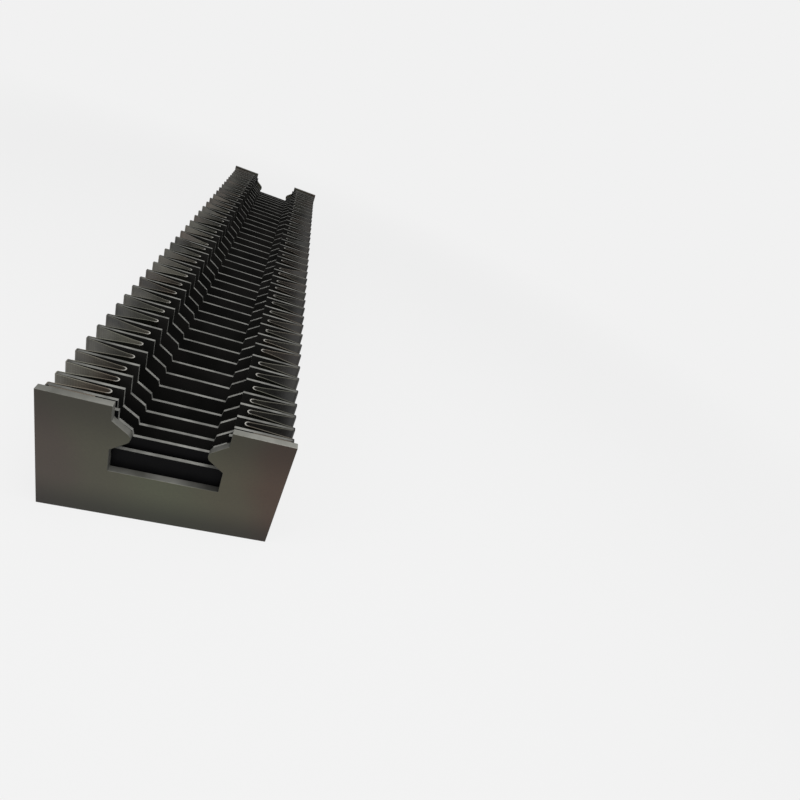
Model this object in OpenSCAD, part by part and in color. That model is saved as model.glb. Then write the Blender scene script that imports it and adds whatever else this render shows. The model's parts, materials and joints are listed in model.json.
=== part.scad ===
// Bellows way cover for a profile rail, lying on its roof with the rail channel open upwards.
// X runs across the cover, Y along it and Z from the roof up to the ends of the legs.
// The origin is under the middle of the cover, on the plane that it lies on.

/* [End plates] */
// Width of an end plate
plate_w = 68; // [60:1:90]
// Height of an end plate, from the roof edge to the ends of its legs
plate_h = 41; // [38:1:60]
// Thickness of an end plate
plate_t = 2.5; // [1.5:0.1:5]
// Width of the slot between the legs of an end plate
slot_w = 31; // [26:0.5:36]
// Depth of the slot, from the ends of the legs
slot_depth = 23; // [20:0.5:28]
// Distance from the leg ends to where the noses in the slot begin
nose_drop = 4.9; // [3:0.1:8]
// Height of a nose where it meets the side of the slot
nose_h = 10.2; // [8:0.1:12]
// How far each nose reaches into the slot
nose_reach = 5.1; // [3:0.1:6.5]
// Radius of the tip of a nose
nose_tip_r = 2.2; // [1:0.1:3]

/* [Backing sheets] */
// Thickness of the sheet between an end plate and the cloth
backing_t = 1.2; // [0.8:0.1:3]
// How far the sheet stands above the floor of the slot
backing_rise = 6.8; // [1:0.1:9]
// How far each leg of the sheet reaches in past the side of the slot
backing_reach = 0.9; // [0:0.1:1.3]
// Distance from the leg ends of an end plate to those of its backing sheet
backing_drop = 3; // [1:0.1:10]

/* [Bellows] */
// Number of stiffener frames between the two end frames
fold_count = 36; // [12:1:52]
// Distance from one fold to the next where the cover lies fully opened
fold_pitch = 10.5; // [9:0.1:13]
// Depth of a fold, from its outer ridge to the loop at its inner end
fold_depth = 15; // [11:0.1:16]
// How far the end plates stand out past the bellows all round
plate_lip = 1; // [0.5:0.1:2]
// Thickness of the coated cloth
skin_t = 0.35; // [0.2:0.05:0.5]
// Radius inside the loop at the inner end of a fold
loop_r = 0.7; // [0.3:0.05:0.9]
// Width of the cloth flange on the roof, clamped behind each backing sheet
roof_flange = 23; // [18:0.5:25]
// Width of the cloth flange on each leg
leg_flange = 12; // [8:0.5:14]

/* [Stiffener frames] */
// Thickness of a stiffener frame
frame_t = 1; // [0.5:0.1:1.2]
// Gap between the legs of a frame
channel_w = 31; // [26:0.1:33]
// Straight length of a leg's inner edge, from its end
leg_straight = 5.8; // [4:0.1:8]
// How far each shoulder reaches in under the rail channel
shoulder_reach = 4.8; // [2:0.1:6]
// Height of the slanted top of a shoulder
shoulder_rise = 3.2; // [2:0.1:6]
// Height of the steep land at the tip of a shoulder
shoulder_land = 2; // [0.6:0.1:3]
// How far the land leans in on its way down to the web
land_lean = 0.4; // [0:0.1:0.8]
// Glue gap between a frame and the cloth around it
glue_gap = 0.1; // [0.05:0.05:0.2]

/* [Hidden] */
// Opening of the folds at even steps along the cover, as shares of the pitch: the ends lie more closed
opening_shares = [0.54, 0.82, 0.87, 0.9, 1, 1.08, 1.13, 1, 0.76, 0.48];
// A loose bellows never opens quite evenly: the most that one fold differs from its neighbours, and
// the turn from one fold to the next that spreads the difference
uneven_share = 0.05;
uneven_turn = 137.5;
// Steps in half a turn of cloth
loop_steps = 4;
// Overrun of cutting solids past what they cut
overrun = plate_t;

// Width of the ridge that the cloth makes around the edge of a frame
ridge_w = frame_t + 2*(glue_gap + skin_t);
bellows_w = plate_w - 2*plate_lip;
roof_z = plate_lip;
leg_top_z = plate_h - plate_lip;
slot_floor_z = plate_h - slot_depth;

function even_share(at) = let (
    j = min(floor(at), len(opening_shares) - 2))
    opening_shares[j] + (at - j)*(opening_shares[j + 1] - opening_shares[j]);
function gap_share(i) =
    even_share(i*(len(opening_shares) - 1)/fold_count) + uneven_share*sin(uneven_turn*i);
function run_to(k) = k == 0 ? 0 : run_to(k - 1) + fold_pitch*gap_share(k - 1);

cover_len = 2*(plate_t + backing_t) + ridge_w + run_to(fold_count + 1);
first_y = plate_t + backing_t + ridge_w/2 - cover_len/2;
// Y of every ridge: 0 is the front end frame and fold_count + 1 the rear one
ridge_y = [for (k = [0 : fold_count + 1]) first_y + run_to(k)];
last = fold_count + 1;

function loop_radius(k) = min(loop_r, (ridge_y[k + 1] - ridge_y[k] - ridge_w)/2 - 2*skin_t);
function mid_y(k) = (ridge_y[k] + ridge_y[k + 1])/2;
// Half turn of cloth at the inner end of fold k, as [y, depth] points, on radius r
function loop_points(k, r) = [for (s = [0 : loop_steps])
    let (a = 180 - 180*s/loop_steps)
    [mid_y(k) + r*cos(a), fold_depth - skin_t - loop_radius(k) + r*sin(a)]];
// Outer face of the folded cloth, as [y, depth] points from front to rear
function outer_face() = [for (k = [0 : last]) each concat(
    [[ridge_y[k] - ridge_w/2, 0], [ridge_y[k] + ridge_w/2, 0]],
    k < last ? loop_points(k, loop_radius(k)) : [])];
// Inner face, one cloth thickness further in
function inner_face() = [for (k = [0 : last]) each concat(
    [[ridge_y[k] - ridge_w/2 + skin_t, skin_t], [ridge_y[k] + ridge_w/2 - skin_t, skin_t]],
    k < last ? loop_points(k, loop_radius(k) + skin_t) : [])];
function reversed(v) = [for (i = [len(v) - 1 : -1 : 0]) v[i]];
// Closed section of the cloth with a flange of the given width at each end
function cloth_section(flange) = let (front = ridge_y[0] - ridge_w/2, rear = ridge_y[last] + ridge_w/2)
    concat([[front, flange]], outer_face(), [[rear, flange], [rear - skin_t, flange]],
        reversed(inner_face()), [[front + skin_t, flange]]);

function frame_name(k) = k < 10 ? str("frame_0", k) : str("frame_", k);

// Stands a flat outline drawn in X and Z upright, with its thickness centred on y
module upright(y, t) {
    translate([0, y + t/2, 0]) rotate([90, 0, 0]) linear_extrude(t) children();
}

// One nose of the rail slot, on the +X side: two flanks that run into a round tip
module slot_nose() {
    mid_z = plate_h - nose_drop - nose_h/2;
    inward = nose_reach - nose_tip_r;
    tip_x = slot_w/2 - inward;
    root = slot_w/2 + nose_tip_r;
    touch = atan2(nose_h/2, inward) + acos(nose_tip_r/norm([inward, nose_h/2]));
    flank_x = tip_x + nose_tip_r*cos(touch);
    flank_z = nose_tip_r*sin(touch);
    polygon([
        [slot_w/2, mid_z + nose_h/2], [flank_x, mid_z + flank_z],
        [flank_x, mid_z - flank_z], [slot_w/2, mid_z - nose_h/2],
        [root, mid_z - nose_h/2], [root, mid_z + nose_h/2]]);
    translate([tip_x, mid_z]) circle(r = nose_tip_r, $fn = 48);
}

module end_plate_outline() {
    difference() {
        translate([-plate_w/2, 0]) square([plate_w, plate_h]);
        translate([-slot_w/2, slot_floor_z]) square([slot_w, slot_depth + overrun]);
    }
    slot_nose();
    mirror([1, 0]) slot_nose();
}

module end_plate(y) {
    color("#4d4c44") upright(y, plate_t) end_plate_outline();
}

// U sheet glued to the inner face of an end plate, level with the bellows outside
module backing(y) {
    inner = slot_w - 2*backing_reach;
    leg_top = plate_h - backing_drop;
    web = slot_floor_z + backing_rise;
    color("#222224") upright(y, backing_t) difference() {
        translate([-bellows_w/2, roof_z]) square([bellows_w, leg_top - roof_z]);
        translate([-inner/2, web]) square([inner, leg_top - web + overrun]);
    }
}

// Half of a frame's inner edge from the web up to the leg end
function shoulder_points() = let (
    tip = channel_w/2 - shoulder_reach,
    top = leg_top_z - leg_straight,
    web = top - shoulder_rise - shoulder_land)
    [[tip, web], [tip + land_lean, web + shoulder_land], [channel_w/2, top], [channel_w/2, leg_top_z]];
function mirrored(v) = [for (p = v) [-p[0], p[1]]];

module frame_outline() {
    half = bellows_w/2 - skin_t - glue_gap;
    foot = roof_z + skin_t + glue_gap;
    polygon(concat(
        [[half, foot], [half, leg_top_z]], reversed(shoulder_points()),
        mirrored(shoulder_points()), [[-half, leg_top_z], [-half, foot]]));
}

module stiffener(k) {
    color("#2b2b2d") upright(ridge_y[k], frame_t) frame_outline();
}

// Turns an outline drawn in Y and Z so that it runs along X, centred
module across(w) {
    translate([-w/2, 0, 0]) rotate([90, 0, 90]) linear_extrude(w) children();
}

// Folded wall of one leg, on the +X side, cut off where it meets the folded roof
module leg_cloth() {
    intersection() {
        linear_extrude(leg_top_z)
            polygon([for (p = cloth_section(leg_flange)) [bellows_w/2 - p[1], p[0]]]);
        across(plate_w) above_roof();
    }
}

// Everything on the channel side of the roof's outer face
module above_roof() {
    front = ridge_y[0] - ridge_w/2 - overrun;
    rear = ridge_y[last] + ridge_w/2 + overrun;
    face = outer_face();
    inside = [for (i = [1 : len(face) - 2]) [face[i][0], roof_z + face[i][1]]];
    polygon(concat([[front, plate_h], [front, roof_z]], inside, [[rear, roof_z], [rear, plate_h]]));
}

module bellows_skin() {
    color("#1d1d1f") {
        across(bellows_w) polygon([for (p = cloth_section(roof_flange)) [p[0], roof_z + p[1]]]);
        leg_cloth();
        mirror([1, 0, 0]) leg_cloth();
    }
}

module front_plate() {
    end_plate(plate_t/2 - cover_len/2);
}

module rear_plate() {
    end_plate(cover_len/2 - plate_t/2);
}

module front_backing() {
    backing(plate_t + backing_t/2 - cover_len/2);
}

module rear_backing() {
    backing(cover_len/2 - plate_t - backing_t/2);
}

front_plate();
rear_plate();
front_backing();
rear_backing();
bellows_skin();
stiffener(0);  // front_end_frame
stiffener(last);  // rear_end_frame
for (k = [1 : fold_count]) {
    stiffener(k);
}
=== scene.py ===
import json
import math

import bmesh
import bpy
import numpy as np
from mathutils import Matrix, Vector


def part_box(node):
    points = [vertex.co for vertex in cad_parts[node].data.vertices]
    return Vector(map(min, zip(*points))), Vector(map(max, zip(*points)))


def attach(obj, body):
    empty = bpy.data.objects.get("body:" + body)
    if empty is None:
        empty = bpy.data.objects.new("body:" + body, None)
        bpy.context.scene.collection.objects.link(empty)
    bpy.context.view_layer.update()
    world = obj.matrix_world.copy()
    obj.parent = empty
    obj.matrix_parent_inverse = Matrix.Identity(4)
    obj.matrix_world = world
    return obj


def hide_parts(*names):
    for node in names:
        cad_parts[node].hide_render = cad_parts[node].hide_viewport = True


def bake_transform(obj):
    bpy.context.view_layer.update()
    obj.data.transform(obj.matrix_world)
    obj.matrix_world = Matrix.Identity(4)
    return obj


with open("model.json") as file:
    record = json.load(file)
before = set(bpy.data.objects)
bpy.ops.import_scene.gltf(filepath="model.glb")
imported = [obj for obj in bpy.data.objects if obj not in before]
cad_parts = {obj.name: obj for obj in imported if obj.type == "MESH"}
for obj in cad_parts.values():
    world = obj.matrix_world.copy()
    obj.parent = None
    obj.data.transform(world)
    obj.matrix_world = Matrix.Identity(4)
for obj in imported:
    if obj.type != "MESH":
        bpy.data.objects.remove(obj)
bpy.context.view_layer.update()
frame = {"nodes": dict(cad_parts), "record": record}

# Sizes, in metres
MM = 0.001
CLOTH_T = 0.35 * MM            # coated cloth
GLUE = 0.1 * MM                # glue between a frame and the cloth around it
SHEET_T = 1.0 * MM             # stiffener frames
FOLD_DEPTH = 15 * MM           # from a ridge to the loop of the next fold
LOOP_R = 1.0 * MM              # radius of a loop, on the middle of the cloth
SKIRT = 0.9 * MM               # how far the cloth is glued down both sides of a frame
RIDGE_R = 0.2 * MM             # crease radius along a ridge
ROOF_FLANGE = 23 * MM          # cloth clamped behind a backing sheet, above the roof
LEG_FLANGE = 12 * MM           # the same, on each leg
FLAP_LEAST = 0.02 * MM         # width of a flap where it begins, at the end of the skirt
SEAM_LEAST = 0.01 * MM         # distance of its two layers there, on the middles of the cloth
SEAM_AIR = 0.06 * MM           # air that comes between the layers as the flap grows
LEAN_AIR = 0.1 * MM            # air that a leaning loop leaves beside it
EDGE_BREAK = 0.2 * MM          # broken edges of the end plates
SAME_PLACE = 0.001 * MM        # corners of a plate that lie closer than this are one
RIDGE_HALF = SHEET_T / 2 + GLUE + CLOTH_T / 2    # from the middle of a ridge to that of its cloth
UV_PER_METRE = 100             # the cloth's UV maps are in centimetres
TINY = 1e-15                   # least length that a normal is divided by

# Angles
CLOTH_CREASE = math.radians(40)    # faces of the cloth that turn more than this meet in an edge
PLATE_EDGE = math.radians(30)      # the same for the plates
FLAT = math.radians(1)             # faces of a plate that turn less than this are one

# Shares and counts
FLAP_GROWTH_SHARE = 0.35       # of the fold's depth, over which a flap grows to its width
FLAP_BEND_SHARE = 0.6          # of the seam: radius of the bend from a leg into its flap
LEAVE_SHARE = 0.12             # of an arm: handle of its curve at the frame
ARRIVE_SHARE = 0.2             # of an arm: handle of its curve at the loop
LEAN_SHARE = 0.45              # of the room beside a loop, which each wave of its lean may use
WAVE_COUNT = 3                 # waves in the lean of a loop
WAVE_SHARE = 0.6               # of what it may use: the most that a wave is high
SEED = 7                       # of the waves; any number gives as good a cover

# Points along the stretches of the meshes
LEG_POINTS = 12                # down a leg
BEND_POINTS = 4                # round the bend into a flap
FLAP_POINTS = 6                # out along a flap
TURN_POINTS = 5                # round a flap's edge
ROOF_POINTS = 14               # across half the roof
ARM_POINTS = 8                 # along an arm of a fold
LOOP_POINTS = 9                # round a loop
CREASE_POINTS = 4              # round one crease of a ridge
SKIRT_POINTS = 3               # down a skirt
BREAK_STEPS = 2                # across a broken edge of a plate

skin_lo, skin_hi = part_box("bellows_skin")
HALF_W, ROOF_Z, LEG_TOP = skin_hi.x, skin_lo.z, skin_hi.z

behaviour = frame["record"]["behaviour"]
couplings = behaviour["couplings"]
FRAME_COUNT = len(couplings)
LAST = FRAME_COUNT + 1


def ridge_node(k):
    """CAD node of stiffener frame k, counted from the front end frame."""
    return {0: "front_end_frame", LAST: "rear_end_frame"}.get(k, f"frame_{k:02d}")


def ridge_body(k):
    """CAD body that ridge k rides on."""
    return {0: "front_end", LAST: "rear_end"}.get(k, f"frame_{k:02d}")


# Y of every ridge
ridge_y = [sum(c.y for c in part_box(ridge_node(k))) / 2 for k in range(LAST + 1)]


# Materials
def linear(code, alpha=1.0):
    """sRGB hex code as a linear colour: a power of 2.4 above a short straight foot."""
    srgb = np.array([int(code[i:i + 2], 16) for i in (1, 3, 5)]) / 255
    rgb = np.where(srgb <= 0.04045, srgb / 12.92, ((srgb + 0.055) / 1.055) ** 2.4)
    return (*(float(c) for c in rgb), alpha)


# Sockets of a colour mix, by number, because its other data types use the same names
SHARE, FIRST, SECOND, MIXED = 0, 6, 7, 2


def add(tree, kind, inputs=None, **settings):
    """Adds a node. A setting is one of its attributes; an input is a value or a link. Sockets that share
    a name, such as the operands of a sum, go by their number."""
    made = tree.nodes.new(kind)
    for key, value in settings.items():
        setattr(made, key, value)
    for key, value in (inputs or {}).items():
        if isinstance(value, bpy.types.NodeSocket):
            tree.links.new(value, made.inputs[key])
        else:
            made.inputs[key].default_value = value
    return made


def new_material(name):
    """Empty node material and its tree."""
    made = bpy.data.materials.new(name)
    made.use_nodes = True
    made.node_tree.nodes.clear()
    return made, made.node_tree


def ramp(tree, factor, stops, interpolation="LINEAR"):
    """Colour ramp through (place, hex colour) stops."""
    made = add(tree, "ShaderNodeValToRGB", {"Fac": factor})
    made.color_ramp.interpolation = interpolation
    elements = made.color_ramp.elements
    while len(elements) < len(stops):
        elements.new(0.5)
    for element, (place, code) in zip(elements, stops):
        element.position = place
        element.color = linear(code)
    return made.outputs["Color"]


def anodised_plate():
    """Sand-blasted aluminium plate, black anodised and faded to olive and brown."""
    made, tree = new_material("satin_anodised_aluminium")
    place = add(tree, "ShaderNodeTexCoord").outputs["Object"]
    normal = add(tree, "ShaderNodeNewGeometry").outputs["Normal"]
    # the dye is brown at both sides and olive between; a noise that drifts over some 30 mm, halved and
    # centred on 0, moves that to and fro
    drift = add(tree, "ShaderNodeTexNoise", {"Vector": place, "Scale": 1 / (34 * MM), "Detail": 2.0})
    across = add(tree, "ShaderNodeSeparateXYZ", {"Vector": place})
    centred = add(tree, "ShaderNodeMapRange", {"Value": across.outputs["X"], "From Min": -HALF_W,
                                               "From Max": HALF_W})
    shift = add(tree, "ShaderNodeMath", {0: drift.outputs["Fac"], 1: 0.5, 2: -0.25},
                operation="MULTIPLY_ADD")
    along = add(tree, "ShaderNodeMath", {0: centred.outputs["Result"], 1: shift.outputs["Value"]},
                operation="ADD", use_clamp=True)
    dye = ramp(tree, along.outputs["Value"], [(0.0, "#443c35"), (0.2, "#464437"), (0.5, "#494b3a"),
                                              (0.8, "#484435"), (1.0, "#47372c")], "EASE")
    # the faces are darker towards the plate's upper and lower edges, most at the bottom
    level = add(tree, "ShaderNodeMapRange", {"Value": across.outputs["Z"], "From Min": 0.0,
                                             "From Max": LEG_TOP + ROOF_Z})
    depth = ramp(tree, level.outputs["Result"], [(0.0, "#a2a2a2"), (0.34, "#ffffff"), (0.55, "#ffffff"),
                                                 (1.0, "#c8c8c8")], "EASE")
    dye_darker_at_edges = add(tree, "ShaderNodeMix", {SHARE: 1.0, FIRST: dye, SECOND: depth}, data_type="RGBA",
               blend_type="MULTIPLY").outputs[MIXED]
    # grit of the blasting, 0.1 mm in truth, drawn at 0.5 mm so that it shows
    grit = add(tree, "ShaderNodeTexNoise", {"Vector": place, "Scale": 1 / (0.5 * MM), "Detail": 3.0})
    speck = ramp(tree, grit.outputs["Fac"], [(0.3, "#dadada"), (0.7, "#ffffff")])
    face = add(tree, "ShaderNodeMix", {SHARE: 0.5, FIRST: dye_darker_at_edges, SECOND: speck}, data_type="RGBA",
               blend_type="MULTIPLY").outputs[MIXED]
    # cut faces are rubbed paler, unevenly over a few millimetres
    rubbed = add(tree, "ShaderNodeTexNoise", {"Vector": place, "Scale": 1 / (9 * MM), "Detail": 3.0})
    pale = ramp(tree, rubbed.outputs["Fac"], [(0.3, "#60605a"), (0.7, "#8c8c86")])
    # painted light: the cut faces are drawn paler the higher they lie, where the light from above falls on
    # them, and paler towards the right: six parts of height to four parts of place across
    height = add(tree, "ShaderNodeMath", {0: level.outputs["Result"], 1: 0.6}, operation="MULTIPLY")
    top_and_right = add(tree, "ShaderNodeMath", {0: centred.outputs["Result"], 1: 0.4,
                                           2: height.outputs["Value"]}, operation="MULTIPLY_ADD")
    painted_top_light = add(tree, "ShaderNodeMapRange", {"Value": top_and_right.outputs["Value"], "From Min": 0.3,
                                            "From Max": 0.95, "To Min": 0.4, "To Max": 1.0})
    # painted shade: below the ends of the legs, the cut faces of the right half, in the nook under the
    # right nose, are drawn darker, by 0.5 of the whole
    right = add(tree, "ShaderNodeMapRange", {"Value": across.outputs["X"], "From Min": 2 * MM,
                                             "From Max": 12 * MM})
    below = add(tree, "ShaderNodeMapRange", {"Value": level.outputs["Result"], "From Min": 1.0,
                                             "From Max": 0.94})
    painted_nook_shade = add(tree, "ShaderNodeMath", {0: right.outputs["Result"], 1: below.outputs["Result"]},
               operation="MULTIPLY")
    cut_lit_share = add(tree, "ShaderNodeMath", {0: painted_nook_shade.outputs["Value"], 1: -0.5, 2: painted_top_light.outputs["Result"]},
               operation="MULTIPLY_ADD")
    # the cut faces go from their pale colour towards near black where the painted light is low or the
    # painted shade deep
    cut = add(tree, "ShaderNodeMix", {SHARE: cut_lit_share.outputs["Value"], FIRST: linear("#1c1b19"), SECOND: pale},
              data_type="RGBA").outputs[MIXED]
    turned = add(tree, "ShaderNodeSeparateXYZ", {"Vector": normal})
    facing = add(tree, "ShaderNodeMath", {0: turned.outputs["Y"]}, operation="ABSOLUTE")
    is_face = add(tree, "ShaderNodeMapRange", {"Value": facing.outputs["Value"], "From Min": 0.2,
                                               "From Max": 0.95})
    colour = add(tree, "ShaderNodeMix", {SHARE: is_face.outputs["Result"], FIRST: cut, SECOND: face},
                 data_type="RGBA")
    rough = add(tree, "ShaderNodeMapRange", {"Value": grit.outputs["Fac"], "From Min": 0.3, "From Max": 0.7,
                                             "To Min": 0.4, "To Max": 0.52})
    bump = add(tree, "ShaderNodeBump", {"Height": grit.outputs["Fac"], "Strength": 0.12,
                                        "Distance": 0.05 * MM})
    shader = add(tree, "ShaderNodeBsdfPrincipled", {
        "Base Color": colour.outputs[MIXED], "Roughness": rough.outputs["Result"], "Metallic": 0.35,
        "Normal": bump.outputs["Normal"]})
    add(tree, "ShaderNodeOutputMaterial", {"Surface": shader.outputs[0]})
    return made


def frame_sheet(name, dark, pale):
    """Die-cut hard plastic sheet: black satin faces and paler, slightly rough cut edges."""
    made, tree = new_material(name)
    place = add(tree, "ShaderNodeTexCoord").outputs["Object"]
    normal = add(tree, "ShaderNodeNewGeometry").outputs["Normal"]
    # faint scuffs of a centimetre or two
    scuff = add(tree, "ShaderNodeTexNoise", {"Vector": place, "Scale": 1 / (14 * MM), "Detail": 4.0})
    face = ramp(tree, scuff.outputs["Fac"], [(0.35, dark), (0.7, pale)])
    # the die leaves the edge pale and streaked, some places darker
    streaks = add(tree, "ShaderNodeTexNoise", {"Vector": place, "Scale": 1 / (5 * MM), "Detail": 3.0})
    edge = ramp(tree, streaks.outputs["Fac"], [(0.3, "#555552"), (0.65, "#7b7b77")])
    # glue and handling have dulled the edges of the legs towards the cover's sides
    apart = add(tree, "ShaderNodeSeparateXYZ", {"Vector": place})
    out = add(tree, "ShaderNodeMath", {0: apart.outputs["X"]}, operation="ABSOLUTE")
    clean = add(tree, "ShaderNodeMapRange", {"Value": out.outputs["Value"], "From Min": HALF_W,
                                             "From Max": HALF_W - 12 * MM, "To Min": 0.45})
    dulled = add(tree, "ShaderNodeMix", {SHARE: clean.outputs["Result"], FIRST: face, SECOND: edge},
                 data_type="RGBA").outputs[MIXED]
    turned = add(tree, "ShaderNodeSeparateXYZ", {"Vector": normal})
    facing = add(tree, "ShaderNodeMath", {0: turned.outputs["Y"]}, operation="ABSOLUTE")
    is_face = add(tree, "ShaderNodeMath", {0: facing.outputs["Value"], 1: 0.5}, operation="GREATER_THAN")
    colour = add(tree, "ShaderNodeMix", {SHARE: is_face.outputs["Value"], FIRST: dulled, SECOND: face},
                 data_type="RGBA")
    rough = add(tree, "ShaderNodeMapRange", {"Value": scuff.outputs["Fac"], "To Min": 0.3, "To Max": 0.5})
    shader = add(tree, "ShaderNodeBsdfPrincipled", {
        "Base Color": colour.outputs[MIXED], "Roughness": rough.outputs["Result"], "IOR": 1.5,
        "Specular IOR Level": 0.04})
    add(tree, "ShaderNodeOutputMaterial", {"Surface": shader.outputs[0]})
    return made


def coated_cloth(name, dark, pale, roughness, gloss, painted_light_falloff=0.0, bent=None):
    """Woven polyester under a satin polyurethane coat, which lets the threads show a little."""
    made, tree = new_material(name)
    source = add(tree, "ShaderNodeTexCoord")
    # threads every 0.3 mm in truth, drawn every 0.7 mm so that they show; the UV map is in centimetres
    # and a wave of scale 1 repeats 20 / (2 pi) times in each
    spacing = 0.07
    thread = 2 * math.pi / (20 * spacing)
    warp = add(tree, "ShaderNodeTexWave", {"Vector": source.outputs["UV"], "Scale": thread,
                                           "Distortion": 0.3}, bands_direction="X")
    weft = add(tree, "ShaderNodeTexWave", {"Vector": source.outputs["UV"], "Scale": thread,
                                           "Distortion": 0.3}, bands_direction="Y")
    weave = add(tree, "ShaderNodeMath", {0: warp.outputs["Fac"], 1: weft.outputs["Fac"]},
                operation="MULTIPLY")
    # dust and rubbing lie in soft clouds of a centimetre or two
    dust = add(tree, "ShaderNodeTexNoise", {"Vector": source.outputs["Object"], "Scale": 1 / (16 * MM),
                                            "Detail": 4.0})
    colour = ramp(tree, dust.outputs["Fac"], [(0.34, dark), (0.66, pale)])
    # the dye has gone brown in some folds and grey in others
    aged = add(tree, "ShaderNodeTexNoise", {"Vector": source.outputs["Object"], "Scale": 1 / (27 * MM),
                                            "Detail": 1.0})
    tint = ramp(tree, aged.outputs["Fac"], [(0.36, "#ffecdf"), (0.5, "#fbfcf4"), (0.64, "#ecf2e8")])
    colour = add(tree, "ShaderNodeMix", {SHARE: 1.0, FIRST: colour, SECOND: tint}, data_type="RGBA",
                 blend_type="MULTIPLY").outputs[MIXED]
    # painted light and sheen: the coat is drawn paler at the front left, where the light from the left
    # falls on it and its sheen shows, and goes to its own deep black towards the right side and the rear;
    # the change along Y is 0.12 times as fast as across
    split = add(tree, "ShaderNodeSeparateXYZ", {"Vector": source.outputs["Object"]})
    away = add(tree, "ShaderNodeMath", {0: split.outputs["Y"], 1: 0.12, 2: split.outputs["X"]},
               operation="MULTIPLY_ADD")
    shaded = add(tree, "ShaderNodeMapRange", {"Value": away.outputs["Value"], "From Min": -1.2 * HALF_W,
                                              "From Max": 0.3 * HALF_W, "To Max": painted_light_falloff})
    colour = add(tree, "ShaderNodeMix", {SHARE: shaded.outputs["Result"], FIRST: colour,
                                         SECOND: linear("#121110")}, data_type="RGBA").outputs[MIXED]
    if bent:
        # the cut threads are whitened where the loops bend them sharpest
        out = add(tree, "ShaderNodeMath", {0: split.outputs["X"]}, operation="ABSOLUTE")
        sharp = add(tree, "ShaderNodeMapRange", {"Value": out.outputs["Value"],
                                                 "From Min": HALF_W - FOLD_DEPTH + 1.6 * MM,
                                                 "From Max": HALF_W - FOLD_DEPTH + 0.4 * MM})
        colour = add(tree, "ShaderNodeMix", {SHARE: sharp.outputs["Result"], FIRST: colour,
                                             SECOND: linear(bent)}, data_type="RGBA").outputs[MIXED]
    shade = add(tree, "ShaderNodeMix", {SHARE: weave.outputs["Value"], FIRST: linear("#d8d8d8"),
                                        SECOND: linear("#ffffff")}, data_type="RGBA").outputs[MIXED]
    woven = add(tree, "ShaderNodeMix", {SHARE: 1.0, FIRST: colour, SECOND: shade}, data_type="RGBA",
                blend_type="MULTIPLY")
    bump = add(tree, "ShaderNodeBump", {"Height": weave.outputs["Value"], "Strength": 0.25,
                                        "Distance": 0.06 * MM})
    rough = add(tree, "ShaderNodeMapRange", {"Value": dust.outputs["Fac"], "To Min": roughness - 0.06,
                                             "To Max": roughness + 0.1})
    shader = add(tree, "ShaderNodeBsdfPrincipled", {
        "Base Color": woven.outputs[MIXED], "Roughness": rough.outputs["Result"], "IOR": 1.5,
        "Specular IOR Level": gloss, "Sheen Weight": gloss / 8, "Sheen Roughness": 0.4,
        "Normal": bump.outputs["Normal"]})
    add(tree, "ShaderNodeOutputMaterial", {"Surface": shader.outputs[0]})
    return made


plate_finish = anodised_plate()
frame_finish = frame_sheet("die_cut_black_pvc_sheet", "#171716", "#222120")
# the sheets at the ends get a darker copy of the same black sheet: painted shade, for the shadow they lie
# in behind the plates
shaded_end_finish = frame_sheet("die_cut_black_pvc_sheet_painted_shade", "#070708", "#0d0d0e")
# the coat on the outside catches the light at a slant, and its pale colours are painted light and sheen
# from the left, falling to its own deep black on the right and rear; the woven back on the channel side is
# plain black
coat_finish = coated_cloth("polyurethane_coat_on_polyester", "#2a2926", "#68645d", 0.4, 0.7, painted_light_falloff=0.8)
back_finish = coated_cloth("woven_polyester_back", "#11110f", "#1b1a18", 0.5, 0.04)
# the knife leaves the grey threads of the cloth bare along its cut ends
cut_finish = coated_cloth("cut_edge_of_coated_polyester", "#53514b", "#6c6a63", 0.7, 0.3, bent="#a3a19a")


# Meshes
def smooth_step(t):
    """0 below 0, 1 above 1, and 3t^2 - 2t^3 between."""
    t = np.clip(t, 0, 1)
    return t * t * (3 - 2 * t)


def new_piece(name, points, faces, materials):
    """Mesh object at the origin, shaded smooth but for its sharper creases."""
    mesh = bpy.data.meshes.new(name)
    mesh.from_pydata(points.tolist(), [], faces.tolist())
    for m in materials:
        mesh.materials.append(m)
    mesh.polygons.foreach_set("use_smooth", np.ones(len(faces), bool))
    mesh.set_sharp_from_angle(angle=CLOTH_CREASE)
    made = bpy.data.objects.new(name, mesh)
    bpy.context.scene.collection.objects.link(made)
    return made


# Material slots of a cloth sheet
COAT, BACK, CUT = range(3)


def unwrap(mesh, places):
    """UV map that gives each corner its vertex's place on the flat cloth, from metres."""
    corners = np.empty(len(mesh.loops), int)
    mesh.loops.foreach_get("vertex_index", corners)
    flat = places[corners] * UV_PER_METRE
    mesh.uv_layers.new(name="cloth").data.foreach_set("uv", flat.ravel())


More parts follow.
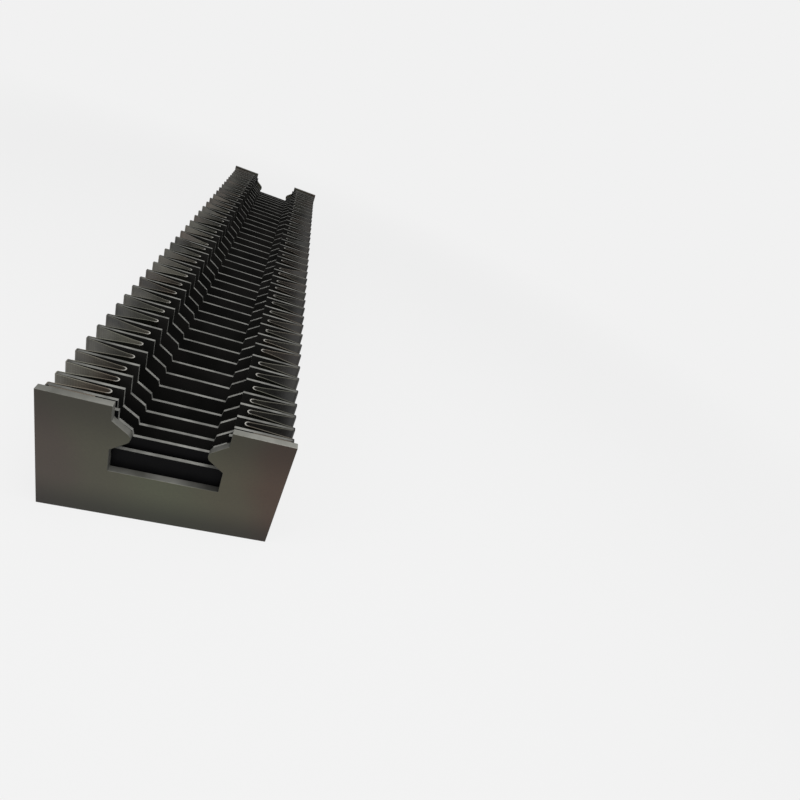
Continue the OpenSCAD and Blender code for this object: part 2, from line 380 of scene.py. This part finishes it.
def cloth_sheet(name, grid, ends):
    """Closed sheet of cloth around a grid of points: each point goes half a thickness up and half a
    thickness down the normal, which is the cross product of the grid's two directions, and a rim joins
    the two. Its UV map is the length along the grid's lines. The two ends of the rows are cut edges, and
    ends is their material."""
    rows, columns = grid.shape[:2]
    along = np.gradient(grid, axis=1)
    over = np.gradient(grid, axis=0)
    normal = np.cross(along, over)
    normal /= np.maximum(np.linalg.norm(normal, axis=2, keepdims=True), TINY)
    points = np.concatenate([(grid + normal * CLOTH_T / 2).reshape(-1, 3),
                             (grid - normal * CLOTH_T / 2).reshape(-1, 3)])
    index = np.arange(rows * columns).reshape(rows, columns)
    top = np.stack([index[:-1, :-1], index[:-1, 1:], index[1:, 1:], index[1:, :-1]], -1).reshape(-1, 4)
    under = top[:, ::-1] + rows * columns
    ring = np.concatenate([index[0, :-1], index[:-1, -1], index[-1, :0:-1], index[:0:-1, 0]])
    onward = np.roll(ring, -1)
    rim = np.stack([ring + rows * columns, onward + rows * columns, onward, ring], -1)
    made = new_piece(name, points, np.concatenate([top, under, rim]), [coat_finish, back_finish, ends])
    # the ring goes along the first row, down the last column, back, and up the first column
    edge = np.full(len(ring), COAT)
    edge[columns - 1:columns + rows - 2] = CUT
    edge[2 * columns + rows - 3:] = CUT
    made.data.polygons.foreach_set("material_index", np.concatenate(
        [np.full(len(top), COAT), np.full(len(under), BACK), edge]))
    steps_u = np.linalg.norm(np.diff(grid, axis=1), axis=2)
    steps_v = np.linalg.norm(np.diff(grid, axis=0), axis=2)
    u = np.concatenate([np.zeros((rows, 1)), np.cumsum(steps_u, 1)], 1)
    v = np.concatenate([np.zeros((1, columns)), np.cumsum(steps_v, 0)])
    unwrap(made.data, np.tile(np.stack([u, v], -1).reshape(-1, 2), (2, 1)))
    return made


def across_cover(depth, flap, seam):
    """U-shaped path of the cloth at each depth below the ridges: down the inside of a leg, out along a
    flap to the cover's side, half a turn, and across the roof; then the same mirrored. depth, flap and
    seam are columns. Returns x and z with one row for each depth."""
    inner = HALF_W - depth
    bend = np.minimum(FLAP_BEND_SHARE * seam, flap / 2)
    foot = ROOF_Z + depth + seam + bend
    side = inner + flap - seam / 2
    down = np.linspace(0, 1, LEG_POINTS)
    quarter = np.linspace(math.pi, 1.5 * math.pi, BEND_POINTS)[1:]
    out = np.linspace(0, 1, FLAP_POINTS)[1:]
    half_turn = np.linspace(math.pi / 2, -math.pi / 2, TURN_POINTS)[1:]
    back = np.linspace(0, 1, ROOF_POINTS)[1:]
    x = np.concatenate([
        inner + 0 * down, inner + bend + bend * np.cos(quarter), inner + bend + (side - inner - bend) * out,
        side + seam / 2 * np.cos(half_turn), side * (1 - back)], axis=1)
    z = np.concatenate([
        LEG_TOP + (foot - LEG_TOP) * down, foot + bend * np.sin(quarter), foot - bend + 0 * out,
        foot - bend - seam / 2 + seam / 2 * np.sin(half_turn), ROOF_Z + depth + 0 * back], axis=1)
    return np.concatenate([x, -x[:, -2::-1]], 1), np.concatenate([z, z[:, -2::-1]], 1)


def flap_at(depth):
    """Width of the doubled flap at each depth, and the distance of its layers: next to nothing at the
    skirt, then growing by a smooth step until the flap reaches the cover's side."""
    grown = smooth_step((depth - SKIRT) / (FLAP_GROWTH_SHARE * FOLD_DEPTH))
    return (depth - CLOTH_T / 2) * grown + FLAP_LEAST, (CLOTH_T + SEAM_AIR) * grown + SEAM_LEAST


def ridge_strip(k):
    """Cloth round the edge of frame k: a channel section with two skirts, carried round the cover."""
    corner = np.linspace(0, math.pi / 2, CREASE_POINTS)
    down = np.linspace(1, 0, SKIRT_POINTS)[:-1]
    low = CLOTH_T / 2 + RIDGE_R
    y = np.concatenate([-RIDGE_HALF + 0 * down, -RIDGE_HALF + RIDGE_R * (1 - np.cos(corner))])
    depth = np.concatenate([low + (SKIRT - low) * down, low - RIDGE_R * np.sin(corner)])
    y = np.concatenate([y, -y[::-1]]) + ridge_y[k]
    depth = np.concatenate([depth, depth[::-1]])[:, None]
    x, z = across_cover(depth, np.full_like(depth, FLAP_LEAST), np.full_like(depth, SEAM_LEAST))
    made = cloth_sheet(f"cloth_ridge_{k:02d}", np.stack([x, y[:, None] + 0 * x, z], -1), coat_finish)
    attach(made, ridge_body(k))
    return made


def bezier(t, ends, handles):
    """Cubic curve: the first end, its handle, the other handle and the other end, with the weights
    (1 - t)^3, 3 (1 - t)^2 t, 3 (1 - t) t^2 and t^3."""
    (a, d), (b, c) = np.array(ends), np.array(handles)
    t = t[:, None]
    return (1 - t) ** 3 * a + 3 * (1 - t) ** 2 * t * b + 3 * (1 - t) * t ** 2 * c + t ** 3 * d


def fold(k, spread):
    """Cloth between ridges k and k + 1: two arms that leave the frames' edges straight inwards on cubic
    curves, and a loop of half a turn between them. spread holds the height and phase of each sine wave
    in the lean of the loop. Returns the piece and its flat size."""
    y0, y1 = ridge_y[k] + RIDGE_HALF, ridge_y[k + 1] - RIDGE_HALF
    middle, room = (y0 + y1) / 2, (y1 - y0) / 2
    radius = min(LOOP_R, room - CLOTH_T)
    centre = FOLD_DEPTH - CLOTH_T / 2 - radius
    arm = centre - SKIRT
    front = bezier(np.linspace(0, 1, ARM_POINTS), [(y0, SKIRT), (middle - radius, centre)],
                   [(y0, SKIRT + LEAVE_SHARE * arm), (middle - radius, centre - ARRIVE_SHARE * arm)])
    turn = np.linspace(math.pi, 0, LOOP_POINTS)[1:-1]
    loop = np.stack([middle + radius * np.cos(turn), centre + radius * np.sin(turn)], 1)
    rear = front[::-1] * (-1, 1) + (2 * middle, 0)
    profile = np.concatenate([front, loop, rear])
    y, depth = profile[:, :1], profile[:, 1:]
    flap, seam = flap_at(depth)
    x, z = across_cover(depth, flap, seam)
    # the loop leans to one frame or the other, differently along its way round the cover
    way = np.linspace(0, 2 * math.pi, x.shape[1])
    slack = max(0.0, room - radius - CLOTH_T - LEAN_AIR) * LEAN_SHARE
    lean = slack * sum(a * np.sin(n * way + p) for n, (a, p) in enumerate(spread, 1))
    y = y + smooth_step((depth - SKIRT) / arm) * lean
    made = cloth_sheet(f"cloth_fold_{k:02d}", np.stack([x, y, z], -1), cut_finish)
    if k == 0:
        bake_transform(made)
    else:
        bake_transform(made)
    span = 2 * (LEG_TOP - ROOF_Z) + 2 * HALF_W
    return made, (span, float(np.linalg.norm(np.diff(profile, axis=0), axis=1).sum()))


def flange(name, body, y):
    """Flat U of cloth clamped behind a backing sheet: an outline of eight points with a thickness. Its
    UV map is X and Z."""
    inner, step = HALF_W - LEG_FLANGE, ROOF_Z + ROOF_FLANGE
    left = [(-HALF_W, ROOF_Z), (-HALF_W, LEG_TOP), (-inner, LEG_TOP), (-inner, step)]
    outline = np.array(left + [(-x, z) for x, z in left[::-1]])
    n = len(outline)
    points = np.concatenate([np.insert(outline, 1, y + side * CLOTH_T / 2, axis=1) for side in (-1, 1)])
    mesh = bpy.data.meshes.new(name)
    ring = [(i, i + n, (i + 1) % n + n, (i + 1) % n) for i in range(n)]
    mesh.from_pydata(points.tolist(), [], [list(range(n))[::-1], list(range(n, 2 * n)), *ring])
    whole = bmesh.new()
    whole.from_mesh(mesh)
    bmesh.ops.recalc_face_normals(whole, faces=whole.faces)
    whole.to_mesh(mesh)
    whole.free()
    mesh.materials.append(back_finish)
    mesh.materials.append(cut_finish)
    # the edges that face up are cut; the rest takes the black of the cloth's back, also the face towards
    # the plate, which is truly the coat: painted shade, for the shadow behind the plate
    for polygon in mesh.polygons:
        polygon.material_index = int(len(polygon.vertices) == 4 and abs(polygon.normal.x) < 0.5
                                     and polygon.center.z > ROOF_Z + CLOTH_T)
    unwrap(mesh, points[:, [0, 2]])
    made = bpy.data.objects.new(name, mesh)
    bpy.context.scene.collection.objects.link(made)
    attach(made, body)


def end_plate(node, body):
    """End plate: its CAD solid with merged corners and slightly broken edges."""
    mesh = frame["nodes"][node].data.copy()
    mesh.name = node + "_anodised"
    whole = bmesh.new()
    whole.from_mesh(mesh)
    bmesh.ops.remove_doubles(whole, verts=whole.verts, dist=SAME_PLACE)
    bmesh.ops.dissolve_limit(whole, angle_limit=FLAT, verts=whole.verts, edges=whole.edges)
    bmesh.ops.recalc_face_normals(whole, faces=whole.faces)
    whole.to_mesh(mesh)
    whole.free()
    mesh.materials.clear()
    mesh.materials.append(plate_finish)
    mesh.polygons.foreach_set("use_smooth", np.ones(len(mesh.polygons), bool))
    mesh.set_sharp_from_angle(angle=PLATE_EDGE)
    made = bpy.data.objects.new(node + "_anodised", mesh)
    bpy.context.scene.collection.objects.link(made)
    broken = made.modifiers.new("broken edges", "BEVEL")
    broken.width, broken.segments, broken.angle_limit = EDGE_BREAK, BREAK_STEPS, PLATE_EDGE
    broken.harden_normals = True
    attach(made, body)
    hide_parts(node)


# The cover
end_plate("front_plate", "front_end")
end_plate("rear_plate", "rear_end")

END_SHEETS = ["front_backing", "rear_backing", "front_end_frame", "rear_end_frame"]
for node in END_SHEETS + [ridge_node(k) for k in range(1, LAST)]:
    held = frame["nodes"][node]
    held.data.materials.clear()
    held.data.materials.append(shaded_end_finish if node in END_SHEETS else frame_finish)

ridges = [ridge_strip(k) for k in range(LAST + 1)]
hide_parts("bellows_skin")
draw = np.random.default_rng(SEED)
for k in range(LAST):
    spread = [(draw.uniform(-WAVE_SHARE, WAVE_SHARE), draw.uniform(0, 2 * math.pi))
              for _ in range(WAVE_COUNT)]
    cloth, cut = fold(k, spread)
flange("cloth_flange_front", "front_end", ridge_y[0] - RIDGE_HALF)
flange("cloth_flange_rear", "rear_end", ridge_y[LAST] + RIDGE_HALF)


# Floor, light and camera
BACKGROUND = linear("#f1f1f1")
FLOOR_SIZE = 6.0
FLOOR_Z = -0.1 * MM            # just clear of the cover, so that no two faces share a plane

floor_finish, tree = new_material("pale_paper_floor")
rays = add(tree, "ShaderNodeLightPath")
seen = add(tree, "ShaderNodeMath", {0: rays.outputs["Is Camera Ray"], 1: rays.outputs["Is Glossy Ray"]},
           operation="MAXIMUM")
place = add(tree, "ShaderNodeTexCoord").outputs["Object"]
far = add(tree, "ShaderNodeVectorMath", {0: place}, operation="LENGTH")
plain = add(tree, "ShaderNodeMapRange", {"Value": far.outputs["Value"], "From Min": 0.2, "From Max": 0.6,
                                         "To Min": 0.92, "To Max": 1.0}, interpolation_type="SMOOTHSTEP")
share = add(tree, "ShaderNodeMath", {0: seen.outputs["Value"], 1: plain.outputs["Result"]},
            operation="MULTIPLY")
paper = add(tree, "ShaderNodeBsdfDiffuse", {"Color": linear("#dcdcdc")})
glow = add(tree, "ShaderNodeEmission", {"Color": BACKGROUND})
mixed = add(tree, "ShaderNodeMixShader", {0: share.outputs["Value"], 1: paper.outputs[0],
                                          2: glow.outputs[0]})
add(tree, "ShaderNodeOutputMaterial", {"Surface": mixed.outputs[0]})
half = FLOOR_SIZE / 2
corners = np.array([(-half, -half, FLOOR_Z), (half, -half, FLOOR_Z), (half, half, FLOOR_Z),
                    (-half, half, FLOOR_Z)])
floor = new_piece("floor", corners, np.array([[0, 1, 2, 3]]), [floor_finish])

scene = bpy.context.scene
world = bpy.data.worlds.new("soft_studio")
scene.world = world
world.use_nodes = True
world.node_tree.nodes.clear()
rays = add(world.node_tree, "ShaderNodeLightPath")
back = add(world.node_tree, "ShaderNodeBackground", {"Color": BACKGROUND, "Strength": 1.0})
soft = add(world.node_tree, "ShaderNodeBackground", {"Color": linear("#ffffff"), "Strength": 0.42})
chosen = add(world.node_tree, "ShaderNodeMixShader", {0: rays.outputs["Is Camera Ray"], 1: soft.outputs[0],
                                                      2: back.outputs[0]})
add(world.node_tree, "ShaderNodeOutputWorld", {"Surface": chosen.outputs[0]})


def lamp(name, place, aim, size, watts):
    """Square soft lamp that faces a point."""
    data = bpy.data.lights.new(name, "AREA")
    data.size, data.energy = size, watts
    made = bpy.data.objects.new(name, data)
    made.location = place
    made.rotation_euler = (Vector(aim) - Vector(place)).to_track_quat("-Z", "Y").to_euler()
    scene.collection.objects.link(made)


lamp("key", place=(0.1, -0.26, 0.42), aim=(0, -0.16, 0), size=0.35, watts=1.9)
lamp("fill", place=(-0.38, -0.32, 0.3), aim=(0, -0.15, 0), size=0.35, watts=1.2)

camera = bpy.data.cameras.new("camera")
camera.lens, camera.sensor_width = 22.254, 36
camera.shift_x, camera.shift_y = 0.03, 0.03
camera.clip_start, camera.clip_end = 0.01, 20
seat = bpy.data.objects.new("camera", camera)
seat.location = (0.01513, -0.28962, 0.12879)
seat.rotation_euler = tuple(math.radians(a) for a in (56.116, -20.354, -5.187))
scene.collection.objects.link(seat)
scene.camera = seat
scene.view_settings.view_transform = "Standard"
